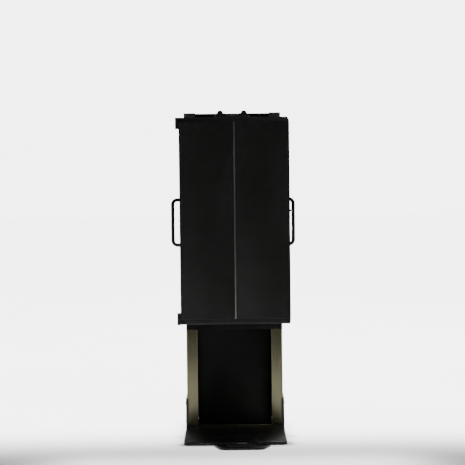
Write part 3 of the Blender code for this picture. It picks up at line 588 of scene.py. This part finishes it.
# ---- press drive --------------------------------------------------------------------------
def make_lead_screw():
    """Four-start trapezoidal thread of 25 mm lead, cut between two plain ends."""
    low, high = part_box("lead_screw")
    radius = (high[0] - low[0]) / 2
    journal_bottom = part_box("bearing_block")[0][2] - 0.0005
    starts, lead, depth, sides, step = 4, 0.025, 0.0016, 32, 0.00104
    pitch = lead / starts
    profile = [(radius * 0.8, low[2]), (radius - depth, low[2] + 0.001)]
    rows = int((journal_bottom - 0.003 - low[2] - 0.002) / step)
    shape = bmesh.new()
    rings = []

    def add_ring(radii, z):
        ring = []
        for index in range(sides):
            angle = 2 * math.pi * index / sides
            ring.append(shape.verts.new((radii[index] * math.cos(angle),
                                         PRESS_Y + radii[index] * math.sin(angle), z)))
        rings.append(ring)

    for reach, z in profile:
        add_ring([reach] * sides, z)
    for row in range(rows + 1):
        z = low[2] + 0.002 + row * step
        radii = []
        for index in range(sides):
            phase = (z / pitch - starts * index / sides) % 1.0
            flank = min(1.0, max(0.0, 2.5 - abs(phase - 0.5) * 8.0))
            radii.append(radius - depth + depth * flank)
        add_ring(radii, z)
    journal = 0.0059
    for reach, z in ((radius - depth, journal_bottom - 0.001), (journal, journal_bottom - 0.0005),
                     (journal, high[2] - 0.001), (journal - 0.001, high[2])):
        add_ring([reach] * sides, z)
    for lower, upper in zip(rings, rings[1:]):
        for index in range(sides):
            following = (index + 1) % sides
            shape.faces.new((lower[index], lower[following], upper[following], upper[index]))
    shape.faces.new(rings[0])
    shape.faces.new(rings[-1])
    place(mesh_object("lead_screw_threaded", shape, 50), "screw", "bright_steel", replaces=("lead_screw",))


def make_motor():
    """A finned motor with end bells and a terminal box."""
    low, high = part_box("motor")
    radius = (high[0] - low[0]) / 2
    axis_y = (low[1] + high[1]) / 2
    body_low, body_high = low[2] + 0.010, high[2]
    shaft_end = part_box("motor_pulley")[0][2]
    profile = [(0.006, low[2]), (0.0115, low[2] + 0.0005), (0.012, low[2] + 0.001), (0.012, body_low),
               (radius - 0.006, body_low + 0.0005), (radius - 0.001, body_low + 0.004),
               (radius - 0.001, body_low + 0.014)]
    fins, fin_pitch = 9, 0.0066
    for fin in range(fins):
        z = body_low + 0.017 + fin * fin_pitch
        profile += [(radius - 0.0042, z - 0.0018), (radius - 0.0042, z), (radius, z + 0.0005),
                    (radius, z + 0.0022), (radius - 0.0042, z + 0.0027)]
    profile += [(radius - 0.0042, body_high - 0.0100), (radius - 0.0005, body_high - 0.0095),
                (radius - 0.0005, body_high - 0.0010), (radius - 0.0015, body_high),
                (BORE_RADIUS, body_high), (BORE_RADIUS, shaft_end - 0.0003)]
    motor = turned_piece("motor_casing", profile, (0, axis_y, 0), sides=48)
    place(motor, "frame", "cast_metal", replaces=("motor",))
    shape = bmesh.new()
    add_block(shape, (0.024, axis_y - 0.014, 0.745), (0.040, axis_y + 0.014, 0.785))
    terminal = place(mesh_object("motor_terminal_box", shape), "frame", "black_plastic")
    soften(terminal, 0.002)


def smooth_path(points, steps=10):
    """Catmull-Rom curve through the points."""
    path = []
    padded = [points[0]] + list(points) + [points[-1]]
    for index in range(1, len(padded) - 2):
        before, start, end, after = (Vector(p) for p in padded[index - 1:index + 3])
        for step in range(steps):
            t = step / steps
            path.append(0.5 * ((2 * start) + (end - before) * t
                               + (2 * before - 5 * start + 4 * end - after) * t * t
                               + (3 * start - before - 3 * end + after) * t * t * t))
    path.append(Vector(points[-1]))
    return path


def make_wiring():
    """Leads along the walls between the control box, motor and limit switches."""
    routes = {
        "motor_lead": [(0.040, 0.050, 0.765), (0.048, 0.050, 0.764), (0.058, 0.046, 0.768),
                       (0.068, 0.040, 0.770)],
        "upper_switch_lead": [(-0.128, -0.030, 0.712), (-0.1285, -0.030, 0.735), (-0.1285, -0.010, 0.770),
                              (-0.1285, 0.060, 0.795), (-0.100, 0.0855, 0.800), (0.060, 0.0855, 0.800),
                              (0.095, 0.078, 0.795), (0.100, 0.060, 0.785)],
        "lower_switch_lead": [(-0.128, -0.012, 0.4205), (-0.1285, 0.010, 0.440), (-0.1285, 0.070, 0.480),
                              (-0.1285, 0.082, 0.560), (-0.1285, 0.082, 0.700), (-0.1285, 0.078, 0.780),
                              (-0.1285, 0.064, 0.792)],
    }
    for name, points in routes.items():
        radius = 0.0026 if name == "motor_lead" else 0.0016
        place(bent_rod(name, smooth_path(points), radius, 3), "frame", "black_plastic", WIRE_SHEATH)


def make_switch_leaves():
    """The limit switches' spring leaves, on the side that the crosshead comes from."""
    room = 0.0002
    for name, toward in (("upper", -1), ("lower", 1)):
        low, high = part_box(name + "_limit_switch")
        shape = bmesh.new()
        tip = high[0] - 0.001
        level = low[2] if toward < 0 else high[2]
        add_block(shape, (tip - 0.026, PRESS_Y - 0.003, level + min(0, toward * room)),
                  (tip - 0.001, PRESS_Y + 0.003, level + max(0, toward * room)))
        place(mesh_object(name + "_switch_leaf", shape), "frame", "bright_steel")
        places = [(x, low[1], (low[2] + high[2]) / 2) for x in (low[0] + 0.008, high[0] - 0.008)]
        screw_heads(name + "_switch_screws", places, (0, -1, 0), "frame", "bright_steel", 0.0024)


def make_control_box_lid():
    low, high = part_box("control_box")
    proud, margin, corner = 0.0018, 0.004, 0.010
    shape = bmesh.new()
    add_block(shape, (low[0] + margin, low[1] - proud, low[2] + margin),
              (high[0] - margin, low[1] + 0.0004, high[2] - margin))
    lid = place(mesh_object("control_box_lid", shape), "frame", "black_plastic")
    soften(lid, 0.0012)
    places = [(x, low[1] - proud, z) for x in (low[0] + corner, high[0] - corner)
              for z in (low[2] + corner, high[2] - corner)]
    screw_heads("control_box_screws", places, (0, -1, 0), "frame", "bright_steel", 0.0026)


def make_crosshead_screws():
    low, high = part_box("crosshead")
    places = [(x, low[1], (low[2] + high[2]) / 2) for x in (-0.085, -0.060, 0.060, 0.085)]
    screw_heads("crosshead_screws", places, (0, -1, 0), "ram", "bright_steel", 0.0042)


# ---- surroundings -------------------------------------------------------------------------
def make_stage():
    corners = [(-9.8, FLOOR_FRONT), (9.8, FLOOR_FRONT), (9.8, 19.4), (-9.8, 19.4)]
    shape = bmesh.new()
    shape.faces.new([shape.verts.new((x, y, -0.0002)) for x, y in corners])
    floor = mesh_object("studio_floor", shape)
    material, tree, shader = new_material("pale_floor", 0.9, 0.0, 0.05)
    shade = object_noise(tree, 1.5, detail=2.0)
    colour = colour_ramp(tree, shade, (0.90, 0.90, 0.90), (0.93, 0.93, 0.93))
    tree.links.new(colour, shader.inputs["Base Color"])
    floor.data.materials.append(material)
    world = bpy.data.worlds.new("studio")
    bpy.context.scene.world = world
    world.use_nodes = True
    tree = world.node_tree
    tree.nodes.clear()
    output = tree.nodes.new("ShaderNodeOutputWorld")
    mix = tree.nodes.new("ShaderNodeMixShader")
    rays = tree.nodes.new("ShaderNodeLightPath")
    surroundings = tree.nodes.new("ShaderNodeBackground")
    surroundings.inputs["Color"].default_value = (1.0, 1.0, 0.97, 1)
    surroundings.inputs["Strength"].default_value = SURROUNDINGS
    backdrop = tree.nodes.new("ShaderNodeBackground")
    backdrop.inputs["Color"].default_value = (1, 1, 1, 1)
    backdrop.inputs["Strength"].default_value = BACKDROP
    tree.links.new(rays.outputs["Is Camera Ray"], mix.inputs["Fac"])
    tree.links.new(surroundings.outputs["Background"], mix.inputs[1])
    tree.links.new(backdrop.outputs["Background"], mix.inputs[2])
    tree.links.new(mix.outputs["Shader"], output.inputs["Surface"])
    return floor


def light_floor_only(light, floor):
    """Keeps a lamp for the floor, so that the floor is pale and the object stays dark."""
    receivers = bpy.data.collections.new(light.name + "_receivers")
    receivers.objects.link(floor)
    light.light_linking.receiver_collection = receivers


def add_light(name, position, target, size, energy):
    data = bpy.data.lights.new(name, "AREA")
    data.shape = "RECTANGLE"
    data.size, data.size_y = size
    data.energy = energy
    obj = bpy.data.objects.new(name, data)
    obj.location = position
    obj.rotation_euler = (Vector(target) - Vector(position)).to_track_quat("-Z", "Y").to_euler()
    bpy.context.scene.collection.objects.link(obj)
    return obj


def make_lights(floor):
    """Soft lamps from both sides, the front and the back, and lamps that whiten the floor alone."""
    add_light("key", (2.2, -2.4, 2.4), (0, 0, 0.6), (1.8, 1.8), 18)
    add_light("front", (1.7, -5.2, 2.6), (0, 0, 0.7), (1.6, 1.6), 15)
    add_light("fill", (-2.4, -1.2, 1.8), (0, 0, 0.4), (2.0, 2.0), 8)
    add_light("back", (0.6, 2.6, 2.4), (0, 0, 0.5), (2.0, 2.0), 30)
    lamps = [add_light("floor_wash", (0, 9.9, 6.0), (0, 9.9, 0), (20.0, 20.0), 7000),
             add_light("floor_front", (0, -0.72, 3.0), (0, -0.72, 0), (0.9, 0.8), 5.6)]
    for name, x in (("floor_left", -5.6), ("floor_right", 5.6)):
        lamps.append(add_light(name, (x, -0.70, 3.0), (x, -0.70, 0), (9.6, 1.2), 85))
    for lamp in lamps:
        lamp.data.spread = math.radians(6)
        light_floor_only(lamp, floor)


def make_camera():
    """The photographer's place: four metres in front, at the height of the cabinet's door."""
    distance, height, aside = 4.0755, 0.7156, -0.0018
    pitch, roll = math.radians(2.384), math.radians(-0.639)
    focal, sensor = 114.3, 36.0
    data = bpy.data.cameras.new("camera")
    data.sensor_width = sensor
    data.lens = focal
    camera = bpy.data.objects.new("camera", data)
    turn = Matrix.Rotation(math.pi / 2 - pitch, 4, "X") @ Matrix.Rotation(roll, 4, "Z")
    camera.matrix_world = Matrix.Translation((aside, COLUMN_FRONT - distance, height)) @ turn
    bpy.context.scene.collection.objects.link(camera)
    bpy.context.scene.camera = camera


# ---- assembly -----------------------------------------------------------------------------
make_camera()
finish_cad_nodes()
make_post("left_post", -1)
make_post("right_post", 1)
make_foot_details()
make_rear_details()
make_handle("left_handle", -1)
make_handle("right_handle", 1)
make_top_details()
make_side_details()
make_door_details()
make_lead_screw()
make_motor()
make_wiring()
make_switch_leaves()
make_control_box_lid()
make_crosshead_screws()
make_lights(make_stage())
